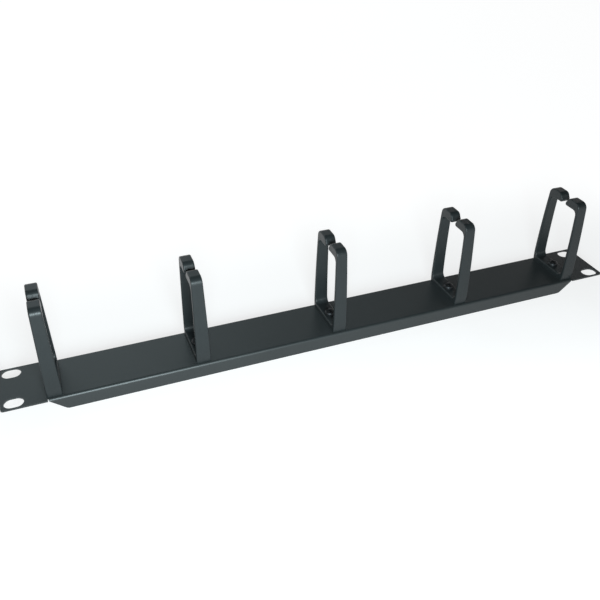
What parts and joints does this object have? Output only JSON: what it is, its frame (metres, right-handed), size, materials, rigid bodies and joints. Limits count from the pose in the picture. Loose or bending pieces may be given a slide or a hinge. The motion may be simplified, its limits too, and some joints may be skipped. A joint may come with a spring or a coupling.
{
  "type": "rack cable management panel",
  "caption": "Folded steel rack panel with slotted ears, carrying a row of upright open-topped plastic cable rings, each screwed to its face.",
  "frame": {"origin": "under the middle of the panel, level with its two folded edges, on which it lies", "axes": "+X along the panel, +Y across it, +Z out of its front face, the way the rings stand"},
  "size_m": [0.4826, 0.0436, 0.08],
  "materials": {
    "panel": "fine satin black powder coat on folded sheet steel",
    "ring": "black moulded nylon with a soft satin sheen",
    "screw": "black zinc plate, satin",
    "washer": "bright zinc plate",
    "nut": "bright zinc plate"
  },
  "bodies": {
    "root": {"panel": "panel", "cable_ring_1": "ring", "cable_ring_2": "ring", "cable_ring_3": "ring", "cable_ring_4": "ring", "cable_ring_5": "ring", "ring_screw_1": "screw", "ring_screw_2": "screw", "ring_screw_3": "screw", "ring_screw_4": "screw", "ring_screw_5": "screw", "ring_washer_1": "washer", "ring_washer_2": "washer", "ring_washer_3": "washer", "ring_washer_4": "washer", "ring_washer_5": "washer", "ring_nut_1": "nut", "ring_nut_2": "nut", "ring_nut_3": "nut", "ring_nut_4": "nut", "ring_nut_5": "nut"}
  },
  "joints": []
}
